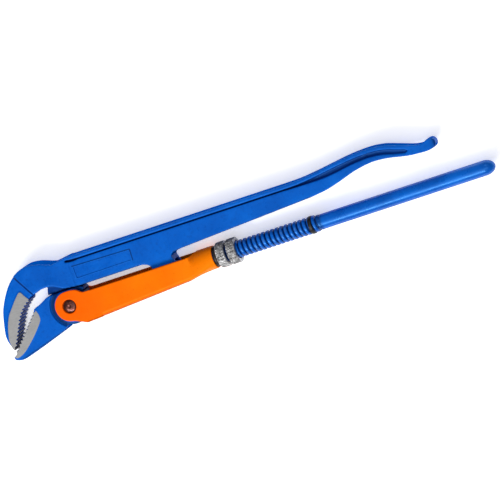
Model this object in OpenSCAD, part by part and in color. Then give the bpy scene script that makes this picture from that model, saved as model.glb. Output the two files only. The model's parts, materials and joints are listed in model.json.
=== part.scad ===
// Swedish-pattern pipe wrench with a 45 degree nose, lying flat.
// Working frame: x along the threaded rod, y towards the upper leg, z across the tool.
// The link rivet is at the working origin; place() moves it to the part frame.

/* [Jaws] */
// thickness of the head and both jaws, mm
jaw_thick = 19.0; // [16:0.5:22]
// tooth pitch on both jaws, mm
tooth_pitch = 3.2; // [3:0.2:5]
// tooth depth, mm
tooth_depth = 1.3; // [1:0.1:2.2]

/* [Link] */
// inside width of the folded channel, mm
channel_gap = 19.8; // [19.5:0.1:21]
// sheet thickness of the channel, mm
sheet = 2.5; // [2:0.1:3]
// inside diameter of the sleeve, mm
sleeve_bore = 15.6; // [15.4:0.1:17]
// outside diameter of the sleeve, mm
sleeve_od = 18.4; // [18:0.2:21]

/* [Rod] */
// outside diameter of the thread, mm
thread_od = 14.0; // [13.6:0.1:15]
// root diameter of the thread, mm
thread_root = 10.8; // [10:0.1:12]
// thread pitch, mm
thread_pitch = 4.0; // [3:0.5:5]
// diameter of the plain handle, mm
bar_d = 12.2; // [12:0.1:14]

/* [Pins] */
// hinge pin diameter, mm
pin_d = 8.0; // [7:0.5:9]
// rivet shank diameter, mm
rivet_d = 8.0; // [7:0.5:9]
// radial running clearance, mm
run = 0.06; // [0.02:0.01:0.1]

/* [Nuts] */
// outside diameter of both nuts, mm
nut_od = 20.8; // [19:0.2:22]
// flats and grooves round each nut
nut_grooves = 24; // [16:1:32]

/* [Hidden] */
$fn = 64;
ht = jaw_thick / 2;
blade = ht - 1.1;            // half thickness of the moving jaw's plate
pad = ht - 0.5;              // half thickness of the ground pads
gi = channel_gap / 2;        // inside half width of the channel
go = gi + sheet;             // outside half width of the channel
px = 89;                     // rear hinge pin, x
guide_y = 12.8;              // underside of the upper leg that the foot slides along
thread_x0 = 129.5;
thread_x1 = 221.5;

module place() { translate([-155, -7.3, go]) children(); }

// smooth curve through hand-chosen points
function cr1(a, b, c, d, t) = 0.5 * ((2 * b) + (c - a) * t + (2 * a - 5 * b + 4 * c - d) * t * t
                              + (3 * b - a - 3 * c + d) * t * t * t);
function smooth(p, n = 4) = let (m = len(p)) concat(
    [for (i = [0:m - 2], k = [0:n - 1])
        cr1(p[max(i - 1, 0)], p[i], p[i + 1], p[min(i + 2, m - 1)], k / n)],
    [p[m - 1]]);

// ---- outlines of the fixed jaw and upper leg ----
hook_outer = smooth([[-57.6, -19.8], [-60.0, -14.8], [-61, -7.8], [-58.8, 2.5], [-55.2, 13.6],
                     [-48.4, 24.8], [-41.6, 32.6], [-33.5, 38.2], [-25, 40.6], [-16, 39.6],
                     [-8, 36.9], [-3.4, 35.6]]);
leg_top = smooth([[-3.4, 35.6], [1.5, 36.3], [8, 37.3]], 3);
leg_top_s = smooth([[200, 37.3], [214, 37.6], [228, 39.0], [243, 41.0], [260, 43.2], [277, 44.0],
                    [290, 42.6], [301, 39.3], [310, 36.4], [316, 34.8], [321, 34.3]]);
leg_tip = smooth([[323.2, 34.8], [325.2, 36.0], [328.0, 36.6], [330.6, 36.0], [332.2, 34.0], [332.4, 31.6],
                  [331.4, 29.6], [328.6, 28.1], [325, 27.5]], 2);
leg_bot_s = smooth([[322, 27.4], [310, 28.2], [300, 30.0], [290, 32.0], [277, 32.8], [262, 30.6],
                    [248, 26.6], [235, 23.4], [220, 21.6]]);
leg_bot = [[103, 15.6]];
head_under = smooth([[14, 12.8], [7.4, 13.4], [0, 14.6], [-4.7, 16.8], [-10, 19.2], [-17.5, 19.5],
                     [-23, 18.2], [-31.2, 13.9]]);
tooth_tips = smooth([[-31.2, 13.9], [-36.3, 10.4], [-41.3, 5.2], [-45.6, -1.4], [-49.4, -8.4],
                     [-53.0, -14.8], [-56.6, -20.4]], 8);

// drops repeated points
function clean(p) = [for (i = [0:len(p) - 1]) if (norm(p[i] - p[(i + 1) % len(p)]) > 0.05) p[i]];
// the same curve moved sideways by d, to its left for d above zero
function shifted(p, d) = [for (i = [0:len(p) - 1])
    let (t = p[min(i + 1, len(p) - 1)] - p[max(i - 1, 0)], l = norm(t)) p[i] + d * [-t[1], t[0]] / l];
teeth_fixed = shifted(tooth_tips, -tooth_depth);
function rev(p) = [for (i = [len(p) - 1:-1:0]) p[i]];
// saw teeth standing out of a curve
function arc_len(p, i = 0) = i >= len(p) - 1 ? 0 : norm(p[i + 1] - p[i]) + arc_len(p, i + 1);
function along(p, s, i = 0) = let (l = norm(p[i + 1] - p[i]))
    (s <= l || i >= len(p) - 2) ? p[i] + (p[i + 1] - p[i]) * (s / l) : along(p, s - l, i + 1);
module teeth(p, side, lean) {
    n = floor(arc_len(p) / tooth_pitch);
    for (i = [0:n - 1]) {
        a = along(p, i * tooth_pitch + 0.1);
        b = along(p, (i + 1) * tooth_pitch - 0.3);
        t = (b - a) / norm(b - a);
        nrm = [-t[1], t[0]] * side;
        m = a + (b - a) * lean;
        polygon([a - nrm * 1.1, a, m + nrm * tooth_depth, m + t * 0.5 + nrm * tooth_depth, b, b - nrm * 1.1]);
    }
}

// whole upper leg, seen from the side; the tooth line is set back under the toothed pad
module leg_outline() {
    polygon(clean(concat([[-58.2, -18.4]], [for (i = [4:26]) hook_outer[i]], [[-34.4, 36.9], [-25, 39.8], [-16, 38.8], [-8, 36.1], [-2, 35.0], [4, 35.6],
                   [9.6, 37.3]], leg_top_s, leg_tip, leg_bot_s, leg_bot, [[95, 14.4], [94, guide_y], [9.4, guide_y], [6.8, 14.4],
                   [0, 15.6], [-4.4, 17.8], [-9.8, 20.0], [-17.5, 20.4], [-23.4, 19.0], [-31.6, 15.6]],
                   [for (i = [0:40]) shifted(teeth_fixed, -1.5)[i]])));
}
// thicker head block, a little proud of the plate all round
module head_block() {
    polygon(clean(concat([[-35.4, 32.0], [-36.7, 35.2], [-36.9, 36.6]], [for (i = [27:44]) hook_outer[i]], leg_top, [[11.4, 37.6], [9.2, 34.2], [6.8, 30], [6.8, 20], [8.2, 16.4],
                   [9.4, 12.9]], [for (i = [5:24]) head_under[i]], [[-26.4, 17.4]])));
}
// toothed ground pad
pad_edge = smooth([[-31.0, 14.6], [-33.6, 18.2], [-36.7, 22.6], [-41.8, 18.8], [-47.8, 12.2], [-51.8, 7.6],
                   [-55.2, 1.2], [-57.4, -5], [-58.9, -11], [-59.0, -15], [-58.5, -18.2], [-57.2, -20.2]], 3);
module pad_outline() {
    polygon(clean(concat(pad_edge, rev([for (i = [0:45]) shifted(teeth_fixed, -0.5)[i]]))));
}
// on each side the web is set back under the top flange
flange_under = concat([[7.6, 35.3], [13, 34.4]],
    smooth([[200, 34.4], [214, 34.7], [228, 36.0], [243, 38.0], [260, 40.0], [277, 40.8], [290, 39.4], [300, 36.3],
            [306, 34.5]]));
module web_face() { polygon(clean(concat([[13, 34.4]], [for (i = [2:34]) flange_under[i]],
    [[306, 20], [240, 8], [9.4, 8], [9.4, 30], [10.4, 33.2]]))); }
// groove in the corner below the flange; it widens along the S-bend
groove_low = smooth([[306, 31.4], [297, 33.4], [286, 36.2], [274, 37.1], [260, 36.0], [246, 33.9], [232, 32.7], [216, 32.9],
                     [200, 33.2]]);
module groove() { polygon(clean(concat(flange_under, [[308.6, 33.2], [308.6, 32.2]], groove_low, [[18, 33.2], [14, 32.7], [7.6, 33.6]]))); }
// plan view of the handle, which gets narrower past the bend
module plan() { polygon([[-70, -ht], [238, -ht], [256, -8.1], [276, -6.9], [294, -5.8], [310, -5.2], [325, -5.2], [330, -4.6], [333.5, -3.2],
    [333.5, 3.2], [330, 4.6], [325, 5.2], [310, 5.2], [294, 5.8], [276, 6.9], [256, 8.1], [238, ht], [-70, ht]]); }
// lug that carries the hinge pin
module lug_outline() {
    polygon(concat(smooth([[65.4, guide_y + 1.2], [69.2, 12.4], [72.4, 11.2], [74.6, 8.8], [76.4, 6.0], [79.4, 4.0]], 3),
        [for (a = [165:15:380]) [px + 7.9 * cos(a), 7.9 * sin(a)]],
        [[95.6, 6.6], [93.8, 10.6], [92.9, guide_y + 2]]));
}

module fixed_jaw_handle() {
    color([0.03, 0.22, 0.62]) place() difference() {
        union() {
            intersection() {
                translate([0, 0, -8.2]) linear_extrude(16.4) leg_outline();
                translate([0, 60, 0]) rotate([90, 0, 0]) linear_extrude(120) plan();
            }
            // head block, sloping down to the web at its rear
            intersection() {
                translate([0, 0, -ht]) linear_extrude(2 * ht) head_block();
                translate([0, 60, 0]) rotate([90, 0, 0]) linear_extrude(120)
                    polygon([[-70, -ht], [-1, -ht], [12, -7.6], [12, 7.6], [-1, ht], [-70, ht]]);
            }
            translate([0, 0, -pad]) linear_extrude(2 * pad) {
                pad_outline();
                teeth(teeth_fixed, 1, 0.25);
            }
            // thin web that carries the sliding face forward under the head block
            translate([0, 0, -4]) linear_extrude(8)
                polygon([[-17.1, guide_y], [-15.0, 19.0], [-14.4, 22.5], [8.4, 22.5], [12, 16], [12, guide_y]]);
            // lug, chamfered at its rear edge
            intersection() {
                translate([0, 0, -9.3]) linear_extrude(18.6) lug_outline();
                translate([0, 60, 0]) rotate([90, 0, 0]) linear_extrude(120)
                    polygon([[60, -9.3], [91.4, -9.3], [97.6, -5.0], [97.6, 5.0], [91.4, 9.3], [60, 9.3]]);
            }
        }
        for (s = [0, 1]) mirror([0, 0, s]) {
            translate([0, 0, 7.6]) linear_extrude(12) web_face();
            translate([0, 0, 3.8]) linear_extrude(12) groove();
        }
        // slot for the eye of the rod
        translate([0, 0, -4.4]) linear_extrude(8.8) {
            translate([px, 0]) circle(r = 8.9);
            translate([px, -12]) square([14, 20.7]);
        }
        translate([px, 0, -12]) cylinder(d = pin_d, h = 24);
    }
}

module handle_pivot_pin() {
    color([0.35, 0.36, 0.38]) place() translate([px, 0, -9.3]) rotate_extrude()
        polygon([[0, 0], [pin_d / 2 - 0.4, 0], [pin_d / 2, 0.4], [pin_d / 2, 18.2], [pin_d / 2 - 0.4, 18.6], [0, 18.6]]);
}

// ---- moving jaw ----
mj_teeth = [[-30.1, 3.9], [-57.6, -24.1]];
mj_under = smooth([[-60.2, -25.0], [-59.9, -27.2], [-58.0, -28.5], [-52.8, -29.4], [-44, -27.4], [-30, -23.2],
                   [-15.8, -18.8], [-10.6, -17.0]], 3);
mj_top = smooth([[13.6, 11.0], [11.6, 12.2], [9.6, 12.45]], 2);
mj_back = smooth([[-4.0, 12.5], [-9.6, 12.5], [-13.6, 12.3], [-17.4, 11.8], [-21.2, 9.9], [-25, 8.2], [-28.8, 7.0],
                  [-30.4, 5.9], [-31, 4.6]], 3);
module mj_outline() {
    polygon(clean(concat(mj_under, [for (a = [-120:10:30]) [15.5 * cos(a), 15.5 * sin(a)]], [[14.6, 9.4]], mj_top,
                   mj_back, [[-29.7, 3.0], [-56.8, -24.6], [-59.0, -24.9]])));
}
module mj_pad() {
    polygon(concat(smooth([[-29.3, 5.2], [-28.2, 2.4], [-27.8, -1], [-29, -4.6], [-36.4, -12.6], [-43.4, -18.9],
                   [-50, -24.0], [-56.0, -26.6], [-58.8, -26.2]], 3), [[-59.5, -25.3], [-57.6, -24.4], [-30.0, 3.6]]));
}
module moving_jaw() {
    color([0.05, 0.25, 0.65]) place() difference() {
        union() {
            translate([0, 0, -(blade + 0.4)]) linear_extrude(2 * (blade + 0.4)) {
                mj_outline();
            }
            translate([0, 0, -pad]) linear_extrude(2 * pad) {
                mj_pad();
                teeth([mj_teeth[0], mj_teeth[1]], -1, 0.25);
            }
            // round boss between the cheeks of the link
            translate([0, 0, -(gi - 0.35)]) cylinder(r = 13.2, h = 2 * (gi - 0.35));
        }
        translate([-12, 12.4, -14]) cube([40, 6, 28]);
        // shallow turned groove round the boss
        for (s = [0, 1]) mirror([0, 0, s]) translate([0, 0, blade - 1.0])
            difference() { cylinder(r = 17.6, h = 4); translate([0, 0, -1]) cylinder(r = 13.2, h = 6); }
        translate([0, 0, -14]) cylinder(d = rivet_d + 2 * run, h = 28);
    }
}

// ---- link: folded channel with a sleeve at the back ----
link_side = concat([for (a = [98:12:264]) [12 * cos(a), 12 * sin(a)]],
    smooth([[-1.2, -12.0], [2.4, -13.2], [6.2, -15.4], [10.2, -16.7], [14, -16.7]], 3),
    [[106, -11.05], [106, 7.4], [18, 7.4]], smooth([[18, 7.4], [14.8, 7.5], [12.6, 8.6], [10.0, 10.6], [6, 11.8], [1.5, 12.1]], 3));
module link() {
    color([1.0, 0.38, 0.02]) place() difference() {
        union() {
            for (s = [0, 1]) mirror([0, 0, s]) translate([0, 0, gi]) linear_extrude(sheet) polygon(link_side);
            // fold along the bottom
            intersection() {
                translate([0, 0, -go]) linear_extrude(2 * go)
                    polygon([[10.2, -16.7], [14, -16.7], [106, -11.05], [106, -8.55],
                             [14, -14.2], [10.2, -14.2]]);
                translate([0, 0, -go]) linear_extrude(2 * go) polygon([[8, -20], [114, -20], [114, 0], [8, 0]]);
            }
            // sleeve and the flare that joins it to the channel
            difference() {
                translate([103, 0, 0]) rotate([0, 90, 0]) cylinder(r1 = 12.2, r2 = sleeve_od / 2, h = 23);
                translate([100, 7.4, -15]) cube([11.5, 8, 30]);
            }
        }
        translate([100, 0, 0]) rotate([0, 90, 0]) cylinder(d = sleeve_bore, h = 30);
        translate([0, 0, -14]) cylinder(d = rivet_d, h = 28);
        for (s = [0, 1]) mirror([0, 0, s]) translate([0, 0, go - 1.3]) cylinder(r = 5.4, h = 3);
    }
}

module link_rivet() {
    color([0.25, 0.14, 0.12]) place() rotate_extrude()
        polygon([[0, -go + 0.25], [2.0, -go + 0.3], [3.9, -go + 0.6], [5.1, -go + 1.0], [5.4, -go + 1.3], [rivet_d / 2, -go + 1.3],
                 [rivet_d / 2, go - 1.3], [5.4, go - 1.3], [5.1, go - 1.0], [3.9, go - 0.6], [2.0, go - 0.3], [0, go - 0.25]]);
}

// ---- threaded rod and lower handle ----
function thread_profile() = let (n = floor((thread_x1 - thread_x0) / thread_pitch), ro = thread_od / 2, rr = thread_root / 2)
    [for (i = [0:n - 1], k = [0:3])
        let (x = thread_x0 + i * thread_pitch)
        k == 0 ? [rr, x + 0.9] : k == 1 ? [ro, x + 1.6] : k == 2 ? [ro, x + 3.0] : [rr, x + 3.7]];
module threaded_handle() {
    color([0.02, 0.28, 0.72]) place() difference() {
        union() {
            rotate([0, 90, 0]) rotate_extrude() polygon(concat(
                [[0, 98.4], [5.3, 98.4], [5.35, 128.6]], thread_profile(),
                [[bar_d / 2 - 0.5, thread_x1 + 1.2], [bar_d / 2 - 0.1, thread_x1 + 6], [bar_d / 2, 240], [bar_d / 2, 362]],
                [for (a = [10:16:80]) [bar_d / 2 * cos(a), 362 + 9 * sin(a)]], [[0.9, 371], [0, 371]]));
            // flat eye and its neck
            translate([px, 0, -4.0]) cylinder(r = 7.6, h = 8);
            translate([px, -5.3, -4.0]) cube([12, 10.6, 8]);
        }
        translate([px, 0, -6]) cylinder(d = pin_d + 2 * run, h = 12);
    }
}

module ring(x, l, d, bore, ch = 0.5) {
    translate([x, 0, 0]) rotate([0, 90, 0]) rotate_extrude()
        polygon([[bore / 2, 0], [d / 2 - ch, 0], [d / 2, ch], [d / 2, l - ch], [d / 2 - ch, l], [bore / 2, l]]);
}
module nut(x, l) {
    difference() {
        ring(x, l, nut_od, thread_od + 0.16, 0.8);
        for (i = [0:nut_grooves - 1]) rotate([i * 360 / nut_grooves, 0, 0])
            translate([x - 1, nut_od / 2 + 0.55, 0]) rotate([0, 90, 0]) cylinder(r = 1.0, h = l + 2, $fn = 16);
    }
}
module nut_stop_ring() { color([0.06, 0.06, 0.07]) place() ring(209.6, 3.0, thread_od + 0.6, thread_root, 0.3); }
module thrust_washer() { color([0.08, 0.08, 0.09]) place() ring(126.4, 2.3, 17.2, thread_od + 0.16, 0.3); }
module adjusting_nut() { color([0.62, 0.63, 0.64]) place() nut(129.0, 8.0); }
module lock_nut() { color([0.60, 0.61, 0.62]) place() nut(138.4, 8.0); }

fixed_jaw_handle();
handle_pivot_pin();
moving_jaw();
link();
link_rivet();
threaded_handle();
nut_stop_ring();
thrust_washer();
adjusting_nut();
lock_nut();
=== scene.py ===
import math

import bpy
import bmesh
import numpy as np
from mathutils import Vector, Matrix
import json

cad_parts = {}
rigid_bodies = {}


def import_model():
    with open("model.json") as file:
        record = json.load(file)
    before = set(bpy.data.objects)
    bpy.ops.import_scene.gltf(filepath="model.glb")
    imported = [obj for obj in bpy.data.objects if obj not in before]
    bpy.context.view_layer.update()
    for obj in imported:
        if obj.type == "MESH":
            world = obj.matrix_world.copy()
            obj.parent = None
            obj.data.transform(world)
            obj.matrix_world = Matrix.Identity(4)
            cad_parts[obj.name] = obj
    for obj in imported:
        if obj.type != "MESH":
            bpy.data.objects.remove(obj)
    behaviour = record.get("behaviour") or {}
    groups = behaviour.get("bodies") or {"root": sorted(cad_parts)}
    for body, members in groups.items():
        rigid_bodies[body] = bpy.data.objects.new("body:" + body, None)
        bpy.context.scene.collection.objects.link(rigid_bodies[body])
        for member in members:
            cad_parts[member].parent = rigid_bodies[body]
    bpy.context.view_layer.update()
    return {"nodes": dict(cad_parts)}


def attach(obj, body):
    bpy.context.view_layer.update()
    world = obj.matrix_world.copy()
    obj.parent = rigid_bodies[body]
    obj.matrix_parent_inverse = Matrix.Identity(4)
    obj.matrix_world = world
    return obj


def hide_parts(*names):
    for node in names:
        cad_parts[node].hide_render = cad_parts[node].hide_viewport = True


for o in list(bpy.data.objects):
    bpy.data.objects.remove(o)

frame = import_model()
nodes = frame["nodes"]

# ------------------------------------------------------------------ helpers
# working frame in millimetres: rivet axis at the origin, x along the rod, z = 0 in the tool's middle plane
OX, OY, OZ = -155.0, -7.3, 12.4


def row(p):
    return ((p[0] + OX) / 1000.0, (p[1] + OY) / 1000.0, (p[2] + OZ) / 1000.0)


def smooth(p, n=4):
    out = []
    m = len(p)
    for i in range(m - 1):
        a, b, c, d = (np.array(p[j], float) for j in (max(i - 1, 0), i, i + 1, min(i + 2, m - 1)))
        for k in range(n):
            t = k / n
            out.append(0.5 * (2 * b + (c - a) * t + (2 * a - 5 * b + 4 * c - d) * t * t
                              + (3 * b - a - 3 * c + d) * t ** 3))
    out.append(np.array(p[-1], float))
    return [tuple(q) for q in out]


def shifted(p, d):
    out = []
    for i in range(len(p)):
        a, b = np.array(p[max(i - 1, 0)]), np.array(p[min(i + 1, len(p) - 1)])
        t = (b - a) / np.linalg.norm(b - a)
        out.append((p[i][0] - d * t[1], p[i][1] + d * t[0]))
    return out


def along(p, s):
    for i in range(len(p) - 1):
        a, b = np.array(p[i]), np.array(p[i + 1])
        l = np.linalg.norm(b - a)
        if s <= l or i == len(p) - 2:
            return a + (b - a) * (s / l)
        s -= l


def length(p):
    return sum(math.dist(p[i], p[i + 1]) for i in range(len(p) - 1))


def new_obj(name, verts, faces, shade=True):
    me = bpy.data.meshes.new(name)
    me.from_pydata([row(v) for v in verts], [], faces)
    me.validate()
    bm = bmesh.new()
    bm.from_mesh(me)
    bmesh.ops.recalc_face_normals(bm, faces=bm.faces)
    bm.to_mesh(me)
    bm.free()
    ob = bpy.data.objects.new(name, me)
    bpy.context.scene.collection.objects.link(ob)
    if shade:
        me.polygons.foreach_set("use_smooth", [True] * len(me.polygons))
    return ob


def prism(name, pts, z0, z1):
    n = len(pts)
    v = [(x, y, z0) for x, y in pts] + [(x, y, z1) for x, y in pts]
    f = [list(range(n))[::-1], list(range(n, 2 * n))]
    f += [[i, (i + 1) % n, n + (i + 1) % n, n + i] for i in range(n)]
    return new_obj(name, v, f, shade=False)


def tube_grid(name, rings, closed_section=True, caps=False):
    """rings: equal-length lists of points; quads between neighbours."""
    m = len(rings[0])
    v = [p for r in rings for p in r]
    f = []
    for i in range(len(rings) - 1):
        for j in range(m if closed_section else m - 1):
            k = (j + 1) % m
            f.append([i * m + j, i * m + k, (i + 1) * m + k, (i + 1) * m + j])
    if caps:
        f.append(list(range(m))[::-1])
        f.append([(len(rings) - 1) * m + j for j in range(m)])
    return new_obj(name, v, f)


def apply(ob):
    dg = bpy.context.evaluated_depsgraph_get()
    bpy.context.view_layer.update()
    me = bpy.data.meshes.new_from_object(ob.evaluated_get(dg), depsgraph=dg)
    ob.modifiers.clear()
    ob.data = me
    return ob


def remeshed(ob, voxel, iters, factor=0.5):
    m = ob.modifiers.new("w", "WELD")
    m.merge_threshold = 1e-6
    m = ob.modifiers.new("r", "REMESH")
    m.mode = "VOXEL"
    m.voxel_size = voxel
    m.use_smooth_shade = True
    if iters:
        m = ob.modifiers.new("s", "SMOOTH")
        m.factor = factor
        m.iterations = iters
    apply(ob)
    return ob


def bevelled(ob, width, segs=2, angle=35):
    m = ob.modifiers.new("b", "BEVEL")
    m.width = width / 1000.0
    m.segments = segs
    m.limit_method = "ANGLE"
    m.angle_limit = math.radians(angle)
    m.miter_outer = "MITER_ARC"
    m.use_clamp_overlap = True
    apply(ob)
    ob.data.polygons.foreach_set("use_smooth", [True] * len(ob.data.polygons))
    w = ob.modifiers.new("n", "WEIGHTED_NORMAL")
    w.keep_sharp = False
    apply(ob)
    return ob


def place(ob, body, slot, mat, *replaced):
    ob.data.materials.clear()
    ob.data.materials.append(mat)
    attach(ob, body)
    if replaced:
        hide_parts(*replaced)
    return ob


# ------------------------------------------------------------------ materials
class Mat:
    def __init__(self, name, **uniform):
        self.m = bpy.data.materials.new(name)
        self.m.use_nodes = True
        self.nt = self.m.node_tree
        self.b = self.nt.nodes["Principled BSDF"]
        for k, v in uniform.items():
            self.b.inputs[k.replace("_", " ")].default_value = v
        self.tc = self.n("ShaderNodeTexCoord").outputs["Object"]

    def n(self, kind, **props):
        x = self.nt.nodes.new(kind)
        for k, v in props.items():
            setattr(x, k, v)
        return x

    def link(self, a, b):
        self.nt.links.new(a, b)

    def mapped(self, scale=(1, 1, 1), loc=(0, 0, 0), rot=(0, 0, 0)):
        x = self.n("ShaderNodeMapping")
        x.inputs["Scale"].default_value = scale
        x.inputs["Location"].default_value = loc
        x.inputs["Rotation"].default_value = rot
        self.link(self.tc, x.inputs["Vector"])
        return x.outputs["Vector"]

    def noise(self, scale, detail=4.0, rough=0.55, vec=None, distortion=0.0):
        x = self.n("ShaderNodeTexNoise")
        x.inputs["Scale"].default_value = scale
        x.inputs["Detail"].default_value = detail
        x.inputs["Roughness"].default_value = rough
        x.inputs["Distortion"].default_value = distortion
        self.link(vec if vec is not None else self.tc, x.inputs["Vector"])
        return x.outputs["Fac"]

    def voronoi(self, scale, vec=None, feature="F1"):
        x = self.n("ShaderNodeTexVoronoi", feature=feature)
        x.inputs["Scale"].default_value = scale
        self.link(vec if vec is not None else self.tc, x.inputs["Vector"])
        return x.outputs["Distance"]

    def ramp(self, fac, stops, mode="LINEAR"):
        x = self.n("ShaderNodeValToRGB")
        x.color_ramp.interpolation = mode
        e = x.color_ramp.elements
        while len(e) < len(stops):
            e.new(0.5)
        for i, (pos, col) in enumerate(stops):
            e[i].position = pos
            e[i].color = col if len(col) == 4 else (*col, 1)
        self.link(fac, x.inputs["Fac"])
        return x.outputs["Color"]

    def mapr(self, fac, a, b, c, d):
        x = self.n("ShaderNodeMapRange")
        for k, v in zip(("From Min", "From Max", "To Min", "To Max"), (a, b, c, d)):
            x.inputs[k].default_value = v
        self.link(fac, x.inputs["Value"])
        return x.outputs["Result"]

    def math(self, op, a, b=None):
        x = self.n("ShaderNodeMath", operation=op)
        for i, q in enumerate((a, b)):
            if q is None:
                continue
            if isinstance(q, (int, float)):
                x.inputs[i].default_value = q
            else:
                self.link(q, x.inputs[i])
        return x.outputs[0]

    def mix(self, fac, a, b, blend="MIX"):
        x = self.n("ShaderNodeMix", data_type="RGBA", blend_type=blend)
        for sock, q in ((0, fac), (6, a), (7, b)):
            if isinstance(q, (int, float)):
                x.inputs[sock].default_value = q
            elif isinstance(q, tuple):
                x.inputs[sock].default_value = q if len(q) == 4 else (*q, 1)
            else:
                self.link(q, x.inputs[sock])
        return x.outputs[2]

    def bump(self, height, dist, strength=1.0, normal=None):
        x = self.n("ShaderNodeBump")
        x.inputs["Strength"].default_value = strength
        x.inputs["Distance"].default_value = dist
        self.link(height, x.inputs["Height"])
        if normal is not None:
            self.link(normal, x.inputs["Normal"])
        return x.outputs["Normal"]

    def out(self, color=None, rough=None, normal=None, metal=None):
        for k, v in (("Base Color", color), ("Roughness", rough), ("Normal", normal), ("Metallic", metal)):
            if v is not None:
                self.link(v, self.b.inputs[k])
        return self.m

    def xy(self):
        """Position in the drawing frame, millimetres, seen along z."""
        g = self.n("ShaderNodeSeparateXYZ")
        self.link(self.tc, g.inputs[0])
        x = self.math("SUBTRACT", self.math("MULTIPLY", g.outputs["X"], 1000.0), OX)
        y = self.math("SUBTRACT", self.math("MULTIPLY", g.outputs["Y"], 1000.0), OY)
        return x, y

    def ring(self, r0, r1, soft=0.5):
        x, y = self.xy()
        r = self.math("SQRT", self.math("ADD", self.math("MULTIPLY", x, x), self.math("MULTIPLY", y, y)))
        return self.math("MULTIPLY", self.mapr(r, r0 - soft, r0 + soft, 0.0, 1.0), self.mapr(r, r1 - soft, r1 + soft, 1.0, 0.0))

    def stroke(self, a, b, half, soft=0.45):
        """1 along the line from a to b, 0 away from it."""
        l = math.dist(a, b)
        tx, ty = (b[0] - a[0]) / l, (b[1] - a[1]) / l
        x, y = self.xy()
        dx, dy = self.math("SUBTRACT", x, a[0]), self.math("SUBTRACT", y, a[1])
        s = self.math("ADD", self.math("MULTIPLY", dx, tx), self.math("MULTIPLY", dy, ty))
        d = self.math("ABSOLUTE", self.math("SUBTRACT", self.math("MULTIPLY", dy, tx), self.math("MULTIPLY", dx, ty)))
        m = self.math("MULTIPLY", self.mapr(s, 0.0, 0.8, 0.0, 1.0), self.mapr(s, l - 0.8, l, 1.0, 0.0))
        return self.math("MULTIPLY", m, self.mapr(d, half - soft, half + soft, 1.0, 0.0))

    # ambient occlusion mask, used to paint shade into creases, hollows and gaps between parts
    def ao_shade(self, dist, lo=0.35, hi=0.85):
        x = self.n("ShaderNodeAmbientOcclusion")
        x.samples = 6
        x.inputs["Distance"].default_value = dist
        return self.mapr(x.outputs["AO"], lo, hi, 1.0, 0.0)

    def gloss(self, level):
        """Gloss that fades where the surface turns away, as on matt enamel."""
        x = self.n("ShaderNodeLayerWeight")
        x.inputs["Blend"].default_value = 0.5
        self.link(self.mapr(x.outputs["Facing"], 0.38, 0.74, level, 0.0), self.b.inputs["Specular IOR Level"])

    def floor_of(self, depth, soft=0.5):
        """Faces across z that lie within depth of the middle plane, such as the bottom of a groove."""
        g = self.n("ShaderNodeSeparateXYZ")
        self.link(self.tc, g.inputs[0])
        z = self.math("ABSOLUTE", self.math("SUBTRACT", self.math("MULTIPLY", g.outputs["Z"], 1000.0), OZ))
        q = self.n("ShaderNodeSeparateXYZ")
        self.link(self.n("ShaderNodeTexCoord").outputs["Normal"], q.inputs[0])
        nz = self.math("ABSOLUTE", q.outputs["Z"])
        return self.math("MULTIPLY", self.mapr(z, depth - soft, depth + soft, 1.0, 0.0), self.mapr(nz, 0.35, 0.7, 0.0, 1.0))

    def pointy(self):
        return self.n("ShaderNodeNewGeometry").outputs["Pointiness"]


# navy used for the painted shade lines and rings in the blue paint
SHADE_NAVY = (0.0005, 0.009, 0.075)


def blue_paint(name, forge=1.0, edges=True, lines=(), rings=()):
    s = Mat(name, Specular_IOR_Level=0.42, Specular_Tint=(0.10, 0.42, 1.0, 1))
    big = s.noise(38, 3)
    fine = s.noise(420, 5)
    col = s.ramp(big, [(0.30, (0.0, 0.080, 0.46)), (0.52, (0.0, 0.098, 0.53)), (0.74, (0.0005, 0.120, 0.60))])
    spots = s.ramp(fine, [(0.30, (0.60, 0.62, 0.68)), (0.46, (1, 1, 1))])
    col = s.mix(0.55, col, spots, "MULTIPLY")
    if edges:
        p = s.pointy()
        worn = s.math("MULTIPLY", s.mapr(p, 0.535, 0.60, 0.0, 1.0), s.mapr(s.noise(160, 6, 0.7), 0.50, 0.60, 0.0, 1.0))
        # painted shade: concave parts of the forging darkened toward navy
        recess_shade = s.mapr(p, 0.40, 0.49, 0.85, 0.0)
        col = s.mix(recess_shade, col, (0.0006, 0.018, 0.13))
        # painted shade: creases and gaps between parts darkened by ambient occlusion
        col = s.mix(s.math("MULTIPLY", s.ao_shade(0.0030, 0.40, 0.80), 0.72), col, (0.0006, 0.016, 0.125))
        # painted highlight: convex edges lightened toward bright blue
        hi = s.mapr(p, 0.51, 0.58, 0.0, 0.45)
        col = s.mix(hi, col, (0.012, 0.21, 0.80))
        col = s.mix(s.math("MULTIPLY", worn, 0.45), col, (0.07, 0.10, 0.16))
    if edges:
        # painted shade: the floors of the grooves near the middle plane darkened toward navy
        col = s.mix(s.math("MULTIPLY", s.floor_of(4.55, 0.4), 0.85), col, (0.0006, 0.022, 0.17))
    # painted shade: dark navy strokes along steps, recess edges and lower edges
    for a, b, half, dark in lines:
        col = s.mix(s.math("MULTIPLY", s.stroke(a, b, half), dark), col, SHADE_NAVY)
    # painted shade: a dark navy ring over the groove around the hinge boss
    for r0, r1 in rings:
        col = s.mix(s.math("MULTIPLY", s.ring(r0, r1), 0.90), col, SHADE_NAVY)
    s.gloss(0.42)
    rough = s.mapr(s.noise(95, 4), 0.3, 0.7, 0.24, 0.40)
    n = s.bump(s.noise(150, 3, 0.5), 0.00035 * forge, 0.55)
    n = s.bump(s.noise(900, 4, 0.6), 0.00006, 0.5, n)
    pits = s.math("SUBTRACT", 1.0, s.mapr(s.voronoi(260), 0.0, 0.22, 1.0, 0.0))
    n = s.bump(pits, 0.00010 * forge, 0.35, n)
    return s.out(col, rough, n)


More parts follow.
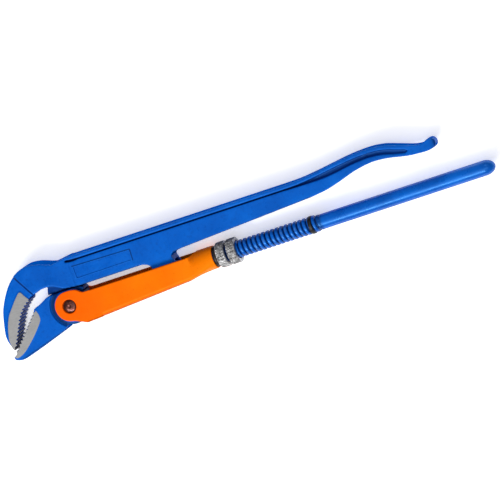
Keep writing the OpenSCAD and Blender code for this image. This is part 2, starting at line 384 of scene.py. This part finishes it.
def orange_paint(name):
    s = Mat(name, Specular_IOR_Level=0.4, Specular_Tint=(1.0, 0.45, 0.05, 1))
    g = s.n("ShaderNodeSeparateXYZ")
    s.link(s.tc, g.inputs[0])
    base = s.ramp(s.noise(30, 3), [(0.3, (0.93, 0.134, 0.0)), (0.7, (1.0, 0.182, 0.0))])
    x, y = s.xy()
    base = s.mix(s.mapr(x, -5.0, 45.0, 0.75, 0.0), base, (0.98, 0.098, 0.0))
    base = s.mix(s.mapr(x, 85.0, 120.0, 0.0, 0.7), base, (1.0, 0.245, 0.002))
    fine = s.ramp(s.noise(520, 5), [(0.30, (0.78, 0.74, 0.70)), (0.45, (1, 1, 1))])
    col = s.mix(0.5, base, fine, "MULTIPLY")
    p = s.pointy()
    worn = s.math("MULTIPLY", s.mapr(p, 0.545, 0.62, 0.0, 1.0), s.mapr(s.noise(190, 6, 0.7), 0.52, 0.60, 0.0, 1.0))
    # painted shade: concave parts and hollows darkened toward deep orange-brown
    col = s.mix(s.mapr(p, 0.38, 0.48, 0.75, 0.0), col, (0.22, 0.030, 0.001))
    col = s.mix(s.math("MULTIPLY", s.ao_shade(0.0025, 0.35, 0.75), 0.7), col, (0.20, 0.022, 0.001))
    col = s.mix(s.math("MULTIPLY", worn, 0.5), col, (0.16, 0.10, 0.07))
    # painted shade: dark lines along the bottom fold and the top edge of the channel
    for a, b in (((9.6, -16.3), (104.0, -10.75)), ((20.0, 7.45), (106.0, 7.45))):
        col = s.mix(s.math("MULTIPLY", s.stroke(a, b, 0.62), 0.60), col, (0.22, 0.030, 0.0))
    s.gloss(0.40)
    rough = s.mapr(s.noise(110, 4), 0.3, 0.7, 0.26, 0.42)
    n = s.bump(s.noise(90, 2, 0.5), 0.00022, 0.4)
    n = s.bump(s.noise(1100, 4, 0.6), 0.00005, 0.5, n)
    return s.out(col, rough, n)


def ground_steel(name):
    s = Mat(name, Metallic=0.55, Specular_IOR_Level=0.5)
    lines = s.noise(1.0, 3, 0.6, s.mapped((300, 4200, 300), rot=(0, 0, math.radians(-52))))
    blot = s.noise(120, 5)
    col = s.ramp(lines, [(0.28, (0.225, 0.225, 0.23)), (0.5, (0.265, 0.265, 0.267)), (0.72, (0.31, 0.31, 0.31))])
    col = s.mix(0.5, col, s.ramp(blot, [(0.35, (0.80, 0.79, 0.78)), (0.6, (1, 1, 1))]), "MULTIPLY")
    rough = s.mapr(lines, 0.3, 0.7, 0.40, 0.56)
    n = s.bump(lines, 0.00005, 0.6)
    n = s.bump(s.noise(1400, 3), 0.00002, 0.4, n)
    return s.out(col, rough, n)


def tooth_steel(name):
    s = Mat(name, Metallic=0.6)
    blot = s.noise(380, 5, 0.65)
    col = s.ramp(blot, [(0.32, (0.012, 0.014, 0.03)), (0.5, (0.06, 0.062, 0.075)), (0.72, (0.25, 0.25, 0.26))])
    return s.out(col, s.mapr(blot, 0.3, 0.7, 0.55, 0.35), s.bump(blot, 0.00012, 0.6))


def zinc(name):
    s = Mat(name, Metallic=0.75)
    a = s.noise(400, 5, 0.60)
    b = s.voronoi(620)
    col = s.ramp(a, [(0.34, (0.14, 0.14, 0.143)), (0.46, (0.30, 0.30, 0.303)), (0.56, (0.46, 0.46, 0.465)), (0.68, (0.80, 0.80, 0.81))])
    p = s.pointy()
    # painted shade: concave parts and hollows of the knurl darkened to near black
    col = s.mix(s.mapr(p, 0.40, 0.49, 0.8, 0.0), col, (0.035, 0.033, 0.035))
    col = s.mix(s.math("MULTIPLY", s.ao_shade(0.0013, 0.40, 0.85), 0.70), col, (0.02, 0.019, 0.02))
    rust = s.math("MULTIPLY", s.mapr(s.noise(170, 5, 0.7), 0.60, 0.68, 0.0, 1.0), 0.35)
    col = s.mix(rust, col, (0.16, 0.075, 0.05))
    rough = s.mapr(a, 0.3, 0.7, 0.52, 0.28)
    n = s.bump(a, 0.00018, 0.6)
    n = s.bump(b, 0.00006, 0.5, n)
    return s.out(col, rough, n)


def dark_rivet(name):
    s = Mat(name, Metallic=0.8, Coat_Weight=0.25, Coat_Roughness=0.15)
    a = s.noise(300, 5, 0.65)
    # dark brown steel, with a reddish cast painted in as a reflection of the orange link
    col = s.ramp(a, [(0.30, (0.026, 0.006, 0.005)), (0.52, (0.105, 0.026, 0.018)), (0.75, (0.26, 0.095, 0.065))])
    # painted shade: the rivet darkened where it sits deep in the countersink
    col = s.mix(s.math("MULTIPLY", s.ao_shade(0.0016, 0.40, 0.80), 0.85), col, (0.010, 0.003, 0.002))
    return s.out(col, s.mapr(a, 0.3, 0.7, 0.20, 0.38), s.bump(s.noise(520, 4), 0.00012, 0.6))


def black_steel(name):
    s = Mat(name, Metallic=0.5)
    a = s.noise(420, 5, 0.65)
    col = s.ramp(a, [(0.3, (0.005, 0.005, 0.007)), (0.7, (0.028, 0.028, 0.032))])
    return s.out(col, s.mapr(a, 0.3, 0.7, 0.50, 0.34), s.bump(a, 0.00008, 0.6))


def plain_steel(name):
    s = Mat(name, Metallic=0.9)
    a = s.noise(1.0, 3, 0.6, s.mapped((1500, 1500, 120)))
    col = s.ramp(a, [(0.3, (0.26, 0.26, 0.27)), (0.7, (0.48, 0.48, 0.49))])
    return s.out(col, s.mapr(a, 0.3, 0.7, 0.42, 0.30), s.bump(a, 0.00004, 0.6))


def thread_paint(name):
    """Blue paint worn thin on the crests, with painted shade darkening the thread roots."""
    s = Mat(name, Specular_IOR_Level=1.0, Specular_Tint=(0.14, 0.50, 1.0, 1))
    sep = s.n("ShaderNodeSeparateXYZ")
    s.link(s.tc, sep.inputs[0])
    y = s.math("SUBTRACT", sep.outputs["Y"], OY / 1000)
    z = s.math("SUBTRACT", sep.outputs["Z"], OZ / 1000)
    r = s.math("SQRT", s.math("ADD", s.math("MULTIPLY", y, y), s.math("MULTIPLY", z, z)))
    inthread = s.math("MULTIPLY", s.mapr(sep.outputs["X"], -0.0285, -0.026, 0.0, 1.0),
                      s.mapr(sep.outputs["X"], 0.064, 0.067, 1.0, 0.0))
    root = s.math("MULTIPLY", s.mapr(r, 0.0058, 0.00688, 1.0, 0.0), inthread)
    big = s.noise(45, 3)
    col = s.ramp(big, [(0.30, (0.0, 0.085, 0.48)), (0.52, (0.0005, 0.110, 0.58)), (0.74, (0.001, 0.140, 0.68))])
    col = s.mix(0.5, col, s.ramp(s.noise(480, 5), [(0.30, (0.62, 0.64, 0.70)), (0.46, (1, 1, 1))]), "MULTIPLY")
    # painted shade: thread roots darkened to near-black navy
    col = s.mix(s.math("MULTIPLY", root, 0.95), col, (0.0008, 0.006, 0.060))
    crest = s.math("MULTIPLY", s.math("MULTIPLY", s.mapr(r, 0.00685, 0.0070, 0.0, 1.0), inthread),
                   s.mapr(s.noise(260, 5, 0.7), 0.48, 0.62, 0.0, 0.6))
    col = s.mix(crest, col, (0.10, 0.24, 0.46))
    # painted shade: grooves and crevices darkened by ambient occlusion
    col = s.mix(s.math("MULTIPLY", s.ao_shade(0.0022, 0.40, 0.80), 0.6), col, (0.0008, 0.010, 0.09))
    s.gloss(1.0)
    rough = s.mapr(s.noise(130, 4), 0.3, 0.7, 0.24, 0.36)
    n = s.bump(s.noise(180, 3), 0.00022, 0.4)
    n = s.bump(s.noise(1000, 4, 0.6), 0.00005, 0.5, n)
    return s.out(col, rough, n)


# painted shade lines: the head step, the panel frame's top and right edges, under the top flange and along the lower
# edges
M_BLUE = blue_paint("forged_blue_paint", 1.0, lines=[
    ((-37.0, 35.4), (-26.6, 17.3), 0.78, 0.92), ((11.2, 29.25), (63.2, 28.05), 0.22, 0.9), ((62.9, 28.4), (62.3, 18.2), 0.26, 0.9),
    ((7.4, 34.7), (18.5, 33.8), 0.75, 0.75), ((9.6, 13.0), (66.0, 13.0), 0.6, 0.75), ((95.5, 15.1), (221.0, 21.8), 0.6, 0.75)])
# painted shade: a dark ring around the hinge boss and a dark line along the jaw's lower edge
M_BLUE2 = blue_paint("jaw_blue_paint", 0.8, rings=[(13.7, 16.9)], lines=[((-54.0, -29.3), (-9.0, -16.6), 0.65, 0.75)])
M_THREAD = thread_paint("rod_blue_paint")
M_ORANGE = orange_paint("orange_paint")
M_GROUND = ground_steel("ground_steel")
M_TOOTH = tooth_steel("tooth_steel")
M_ZINC = zinc("rough_zinc")
M_RIVET = dark_rivet("dark_rivet_steel")
M_BLACK = black_steel("blackened_steel")
M_PLAIN = plain_steel("turned_steel")

# ------------------------------------------------------------------ forging and moving jaw
VOX = 0.00055


def cad_copy(node, name, voxel, iters):
    me = nodes[node].data.copy()
    ob = bpy.data.objects.new(name, me)
    bpy.context.scene.collection.objects.link(ob)
    return remeshed(ob, voxel, iters)


leg = cad_copy("fixed_jaw_handle", "upper_leg_forging", VOX, 5)
place(leg, "upper_leg", "blue_paint", M_BLUE, "fixed_jaw_handle")
jaw = cad_copy("moving_jaw", "lower_jaw_forging", VOX * 0.85, 4)
place(jaw, "lower_jaw", "blue_paint", M_BLUE2, "moving_jaw")

# ground toothed pads
TP, TD = 3.2, 1.3
PADZ = 9.03


def tooth_line(p, side, lean=0.25):
    out = []
    n = int(length(p) // TP)
    for i in range(n):
        a = along(p, i * TP + 0.1)
        b = along(p, (i + 1) * TP - 0.3)
        t = (b - a) / np.linalg.norm(b - a)
        nr = np.array([-t[1], t[0]]) * side
        m = a + (b - a) * lean
        out += [tuple(a - nr * 0.05), tuple(m + nr * TD), tuple(m + t * 0.35 + nr * TD), tuple(b - nr * 0.05)]
    return out


tips = smooth([(-31.2, 13.9), (-36.3, 10.4), (-41.3, 5.2), (-45.6, -1.4), (-49.4, -8.4), (-53.0, -14.8), (-56.6, -20.4)], 8)
roots_f = shifted(tips, -TD)
edge_f = smooth([(-31.0, 14.6), (-33.6, 18.2), (-36.7, 22.6), (-41.8, 18.8), (-47.8, 12.2), (-51.8, 7.6), (-55.2, 1.2),
                 (-57.4, -5), (-58.9, -11), (-59.0, -15), (-58.5, -18.2), (-57.2, -20.2)], 6)
pts = edge_f + tooth_line(roots_f, 1)[::-1]
pad_f = prism("fixed_jaw_teeth", pts, -PADZ, PADZ)
roots_m = [(-30.1, 3.9), (-57.6, -24.1)]
edge_m = smooth([(-29.3, 5.2), (-28.2, 2.4), (-27.8, -1), (-29, -4.6), (-36.4, -12.6), (-43.4, -18.9), (-50, -24.0),
                 (-56.0, -26.6), (-58.8, -26.2)], 6)
pts = edge_m + [(-59.5, -25.3)] + tooth_line(roots_m, -1)[::-1]
pad_m = prism("moving_jaw_teeth", pts, -PADZ, PADZ)


def pad_materials(ob):
    """Side faces across the teeth are darker than the ground flats."""
    ob.data.materials.clear()
    ob.data.materials.append(M_GROUND)
    ob.data.materials.append(M_TOOTH)
    for p in ob.data.polygons:
        p.material_index = 0 if abs(p.normal.z) > 0.6 else 1


for ob, body in ((pad_f, "upper_leg"), (pad_m, "lower_jaw")):
    bevelled(ob, 0.14, 2, 40)
    pad_materials(ob)
    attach(ob, body)

# raised outline of a blank panel on the web, both sides
fr = [(11.6, 29.0), (62.6, 27.8), (62.0, 18.5), (11.6, 18.2)]


def frame_ring(name, z0, z1):
    inner = [(12.9, 28.0), (61.6, 26.9), (61.1, 19.4), (12.9, 19.1)]
    v = []
    for z in (z0, z1):
        v += [(x, y, z) for x, y in fr] + [(x, y, z) for x, y in inner]
    f = []
    for i in range(4):
        j = (i + 1) % 4
        f.append([i, j, 4 + j, 4 + i])
        f.append([8 + i, 8 + j, 12 + j, 12 + i])
        f.append([i, j, 8 + j, 8 + i])
        f.append([4 + i, 4 + j, 12 + j, 12 + i])
    return new_obj(name, v, f, False)


for sgn, nm in ((1, "panel_frame_front"), (-1, "panel_frame_back")):
    a, b = sorted((sgn * 7.3, sgn * 8.15))
    ob = frame_ring(nm, a, b)
    bevelled(ob, 0.28, 3, 40)
    place(ob, "upper_leg", "blue_paint", M_BLUE)

# ------------------------------------------------------------------ link
GI, GO, SH = 9.9, 12.4, 2.5


def yb(x):
    return -16.7 + max(x - 14, 0) * (5.5 / 90)


def link_mesh():
    arc = [(12 * math.cos(math.radians(a)), 12 * math.sin(math.radians(a))) for a in range(98, 264, 5)]
    low = smooth([(-1.2, -12.0), (1.6, -12.9), (4.6, -14.2), (7.6, -15.6), (9.6, -16.5)], 4)
    hump = smooth([(18, 7.4), (14.8, 7.5), (12.6, 8.6), (10.0, 10.6), (6, 11.8), (1.5, 12.1)], 5)
    side = arc + low + [(10.4, -16.75), (14, -16.6), (24, yb(24)), (24, 7.4)] + hump
    objs = []
    hole = [(5.75 * math.cos(t), 5.75 * math.sin(t)) for t in np.linspace(0, 2 * math.pi, 65)[:-1]]
    for s in (1, -1):
        a, b = sorted((s * GI, s * (GO - 1.3)))
        objs.append(prism("p", side, a, b))
        # outer layer with the rivet's countersink
        a, b = sorted((s * (GO - 1.35), s * GO))
        ob = prism("q", side, a, b)
        a, b = sorted((s * (GO - 1.3), s * (GO + 3)))
        cut = prism("c", hole, a, b)
        m = ob.modifiers.new("b", "BOOLEAN")
        m.operation = "DIFFERENCE"
        m.solver = "EXACT"
        m.object = cut
        apply(ob)
        bpy.data.objects.remove(cut)
        objs.append(ob)
    # channel that closes into the sleeve
    rings = []
    xs = [11.2] + list(np.arange(14, 98, 2.0)) + list(np.arange(98, 126.1, 0.5))
    for x in xs:
        zc, bc, rc, top = GI + SH / 2, yb(x) + SH / 2, 2.2, 7.4
        path = [(-zc, top), (-zc, bc + rc)]
        path += [(-zc + rc - rc * math.cos(t), bc + rc - rc * math.sin(t)) for t in np.linspace(0, math.pi / 2, 9)[1:]]
        path += [(zc - rc + rc * math.sin(t), bc + rc - rc * math.cos(t)) for t in np.linspace(0, math.pi / 2, 9)]
        path += [(zc, top)]
        L = length(path)
        N = 72
        ch = [along(path, L * i / N * 0.99999) for i in range(N + 1)]
        a0 = math.radians(2.5)
        sl = [np.array([-8.5 * math.sin(a0 + (2 * math.pi - 2 * a0) * i / N), 8.5 * math.cos(a0 + (2 * math.pi - 2 * a0) * i / N)])
              for i in range(N + 1)]

        def ease(a, b):
            t = min(max((x - a) / (b - a), 0), 1)
            return t * t * (3 - 2 * t)

        c = []
        for i in range(N + 1):
            # the lower part runs straight back to the sleeve, the upper edges fold over in a short step
            f = abs(2 * i / N - 1)
            wl = min(max((x - 101.0) / 25.0, 0), 1) ** 1.8
            wt = ease(107.0, 112.5)
            k = min(max((f - 0.66) / 0.30, 0), 1)
            k = k * k * (3 - 2 * k)
            w = wl * (1 - k) + wt * k
            c.append(ch[i] * (1 - w) + sl[i] * w)
        g = ease(102, 112)
        th = (SH * (1 - g) + 1.4 * g) / 2
        outr, inr = [], []
        for i in range(N + 1):
            t = c[min(i + 1, N)] - c[max(i - 1, 0)]
            t = t / np.linalg.norm(t)
            nr = np.array([t[1], -t[0]])
            outr.append(c[i] + nr * th)
            inr.append(c[i] - nr * th)
        rings.append([(x, q[1], q[0]) for q in outr] + [(x, q[1], q[0]) for q in inr[::-1]])
    objs.append(tube_grid("l", rings, True, True))
    bm = bmesh.new()
    for o in objs:
        bm.from_mesh(o.data)
        bpy.data.objects.remove(o)
    me = bpy.data.meshes.new("link_m")
    bm.to_mesh(me)
    bm.free()
    ob = bpy.data.objects.new("folded_link", me)
    bpy.context.scene.collection.objects.link(ob)
    return remeshed(ob, 0.00038, 3)


link = link_mesh()
place(link, "link", "orange_paint", M_ORANGE, "link")


def lathe(name, prof, n=96, axis="z", centre=(0, 0, 0), wave=None):
    """prof: closed loop of (radius, along)."""
    rings = []
    for j in range(n):
        t = 2 * math.pi * j / n
        ring = []
        for i, (r, h) in enumerate(prof):
            rr = r + (wave(t, r, h) if wave else 0)
            if axis == "z":
                ring.append((centre[0] + rr * math.cos(t), centre[1] + rr * math.sin(t), centre[2] + h))
            else:
                ring.append((centre[0] + h, centre[1] + rr * math.cos(t), centre[2] + rr * math.sin(t)))
        rings.append(ring)
    rings.append(rings[0])
    m = len(prof)
    v = [p for r in rings[:-1] for p in r]
    f = []
    for j in range(n):
        k = (j + 1) % n
        for i in range(m):
            l = (i + 1) % m
            if prof[i][0] < 1e-6 and prof[l][0] < 1e-6:
                continue
            f.append([j * m + i, j * m + l, k * m + l, k * m + i])
    ob = new_obj(name, v, f)
    bm = bmesh.new()
    bm.from_mesh(ob.data)
    bmesh.ops.remove_doubles(bm, verts=bm.verts, dist=1e-8)
    bmesh.ops.recalc_face_normals(bm, faces=bm.faces)
    bm.to_mesh(ob.data)
    bm.free()
    ob.data.polygons.foreach_set("use_smooth", [True] * len(ob.data.polygons))
    return ob


# rivet: shank with an upset dome each side, a ring mark and a centre dimple
dome = [(0.0, -0.34), (0.7, -0.32), (1.05, -0.06), (1.5, 0.0), (2.1, -0.04), (3.0, -0.16), (3.9, -0.36), (4.6, -0.58),
        (5.05, -0.80), (5.32, -1.05), (5.35, -1.30), (4.0, -1.32)]
prof = [(r, GO + h) for r, h in dome] + [(r, -(GO + h)) for r, h in dome[::-1]]
rivet = lathe("link_rivet_domed", prof, 96)
place(rivet, "link", "dark_steel", M_RIVET, "link_rivet")

# ------------------------------------------------------------------ rod with a true helix
PX = 89.0


def smoothstep(a, b, x):
    t = min(max((x - a) / (b - a), 0), 1)
    return t * t * (3 - 2 * t)


def rod_mesh():
    step = 0.2
    xs = [98.4, 98.6, 100, 110, 120, 126, 127.6]
    xs += list(np.arange(128.2, 223.0, step))
    xs += [223.5, 224.2, 226, 235, 260, 290, 320, 340, 355, 361, 362]
    end = [(362 + 9 * math.sin(math.radians(a)), 6.1 * math.cos(math.radians(a))) for a in range(6, 88, 6)]
    n = 96
    rings = []
    for x in xs:
        ring = []
        for j in range(n):
            th = 2 * math.pi * j / n
            if x < 128.2:
                r = 5.3
            else:
                u = (x - 129.5 - 4.0 * th / (2 * math.pi)) / 4.0
                q = abs((u - math.floor(u)) - 0.5) * 2
                c = 1 - max(0.0, 1 - q / 0.66) ** 1.8
                c = c - 0.10 * max(0.0, (q - 0.46) / 0.54) * 0
                c = c * (0.94 + 0.06 * math.cos(2 * math.pi * u))
                amp = smoothstep(128.6, 131.0, x) * (1 - 0.45 * smoothstep(213.0, 218.5, x)) * (1 - smoothstep(219.5, 221.8, x))
                root = 5.35 + 0.05 * smoothstep(128, 130, x)
                r = root + 1.58 * c * amp
                r = max(r, 5.35 + 0.75 * smoothstep(212.0, 222.0, x))
            if x < 98.5:
                r -= 0.2
            ring.append((x, r * math.cos(th), r * math.sin(th)))
        rings.append(ring)
    for x, r in end:
        rings.append([(x, r * math.cos(2 * math.pi * j / n), r * math.sin(2 * math.pi * j / n)) for j in range(n)])
    return tube_grid("threaded_rod", rings, True, True)


rod = rod_mesh()
place(rod, "lower_handle", "blue_paint", M_THREAD, "threaded_handle")

# flat eye with its neck
eye_o = [(PX + 7.6 * math.cos(math.radians(a)), 7.6 * math.sin(math.radians(a))) for a in range(44, 317, 7)]
eye_pts = eye_o + [(98.0, -5.25), (100.4, -5.0), (100.4, 5.0), (98.0, 5.25)]
eye = prism("rod_eye", eye_pts, -4.0, 4.0)
hole = prism("c", [(PX + 4.06 * math.cos(t), 4.06 * math.sin(t)) for t in np.linspace(0, 2 * math.pi, 65)[:-1]], -6, 6)
m = eye.modifiers.new("b", "BOOLEAN")
m.operation, m.solver, m.object = "DIFFERENCE", "EXACT", hole
apply(eye)
bpy.data.objects.remove(hole)
bevelled(eye, 0.5, 3, 40)
place(eye, "lower_handle", "blue_paint", M_THREAD)

# hinge pin
pin = lathe("hinge_pin", [(0.0, -9.3), (3.0, -9.3), (3.7, -9.15), (4.0, -8.8), (4.0, 8.8), (3.7, 9.15), (3.0, 9.3), (0.0, 9.3)], 64,
            centre=(PX, 0, 0))
place(pin, "upper_leg", "plain_steel", M_PLAIN, "handle_pivot_pin")

# ------------------------------------------------------------------ rings and nuts on the rod
def ring_prof(l, ri, ro, c):
    return [(ri + c * 0.6, 0), (ro - c, 0), (ro - c * 0.3, c * 0.3), (ro, c), (ro, l - c), (ro - c * 0.3, l - c * 0.3), (ro - c, l),
            (ri + c * 0.6, l), (ri, l - c * 0.6), (ri, c * 0.6)]


stop = lathe("nut_stop", ring_prof(3.0, 5.45, 7.3, 0.5), 96, "x", (209.6, 0, 0))
place(stop, "lower_handle", "black_steel", M_BLACK, "nut_stop_ring")
washer = lathe("washer_ring", ring_prof(2.3, 7.1, 8.6, 0.45), 96, "x", (126.4, 0, 0))
place(washer, "washer", "black_steel", M_BLACK, "thrust_washer")

NUTR = 10.4


def nut(name, x0, l, phase):
    prof = [(7.6, 0.0), (8.3, 0.0), (9.2, 0.0), (9.7, 0.05), (10.05, 0.2), (10.28, 0.42), (NUTR, 0.7)]
    k = 24
    prof += [(NUTR, 0.7 + (l - 1.4) * i / k) for i in range(1, k)]
    prof += [(r, l - h) for r, h in prof[6::-1]][0:7]
    prof += [(7.09, l - 0.5), (7.09, 0.5)]

    def wave(t, r, h):
        if r < 9.6:
            return 0.0
        wgt = min(1.0, max(0.0, (r - 9.6) / 0.6))
        g = math.cos(24 * (t + phase))
        d = -0.50 * max(0.0, g) ** 6
        a, b = 36 * t + 1.55 * h, 36 * t - 1.55 * h
        kn = (abs(math.sin(a)) * abs(math.sin(b))) ** 0.5
        d += -0.34 * (1 - kn)
        return d * wgt

    return lathe(name, prof, 576, "x", (x0, 0, 0), wave)


for nm, x0, node, body, ph in (("knurled_nut_front", 129.0, "adjusting_nut", "front_nut", 0.0),
                               ("knurled_nut_rear", 138.4, "lock_nut", "rear_nut", 0.09)):
    place(nut(nm, x0 + 0.25, 7.5, ph), body, "zinc_steel", M_ZINC, node)

# ------------------------------------------------------------------ stage, light, camera
bm = bmesh.new()
bmesh.ops.create_grid(bm, x_segments=2, y_segments=2, size=4.0)
me = bpy.data.meshes.new("floor")
bm.to_mesh(me)
bm.free()
floor = bpy.data.objects.new("floor", me)
floor.location = (0, 0, -0.0003)
bpy.context.scene.collection.objects.link(floor)
# the floor glows with its own emission, which washes out the cast shadows and lights the tool from below
fm = Mat("glowing_floor_paper", Roughness=0.9, Specular_IOR_Level=0.1, Emission_Color=(1, 1, 1, 1), Emission_Strength=0.46)
fm.out(fm.ramp(fm.noise(6, 2), [(0.3, (0.95, 0.95, 0.95)), (0.7, (0.97, 0.97, 0.97))]))
floor.data.materials.append(fm.m)


def area(name, loc, target, size, power, color=(1, 1, 1)):
    d = bpy.data.lights.new(name, "AREA")
    d.shape = "RECTANGLE"
    d.size, d.size_y = size
    d.energy = power
    d.color = color
    o = bpy.data.objects.new(name, d)
    o.location = loc
    o.rotation_euler = (Vector(target) - Vector(loc)).to_track_quat("-Z", "Y").to_euler()
    bpy.context.scene.collection.objects.link(o)
    return o


area("key", (-0.50, -0.78, 1.20), (0, 0, 0), (1.2, 0.26), 16)
area("top", (0.10, -0.25, 1.7), (0, 0, 0), (1.6, 1.0), 8.3)
area("rim", (0.45, 0.85, 1.0), (0, 0, 0), (0.30, 0.20), 1.3)
w = bpy.context.scene.world or bpy.data.worlds.new("w")
bpy.context.scene.world = w
w.use_nodes = True
w.node_tree.nodes["Background"].inputs[0].default_value = (1, 1, 1, 1)
w.node_tree.nodes["Background"].inputs[1].default_value = 0.26
bpy.context.scene.view_settings.view_transform = "Standard"
bpy.context.scene.view_settings.look = "None"

R = Vector((0.892, -0.346, -0.29)).normalized()
U = Vector((0.2936, 0.9327, -0.21))
U = (U - R * U.dot(R)).normalized()
C = R.cross(U)
dist = 12.0
look = Vector(row((154.7, -3.55, 0)))
cam_d = bpy.data.cameras.new("cam")
cam_d.type = "PERSP"
cam_d.sensor_width = 18
cam_d.lens = 18 * dist / (500 / 1.27 / 1000)
cam_d.clip_start, cam_d.clip_end = 0.1, 50
cam = bpy.data.objects.new("cam", cam_d)
bpy.context.scene.collection.objects.link(cam)
rot = Matrix((R, U, C)).transposed().to_4x4()
cam.matrix_world = Matrix.Translation(look + C * dist) @ rot
bpy.context.scene.camera = cam
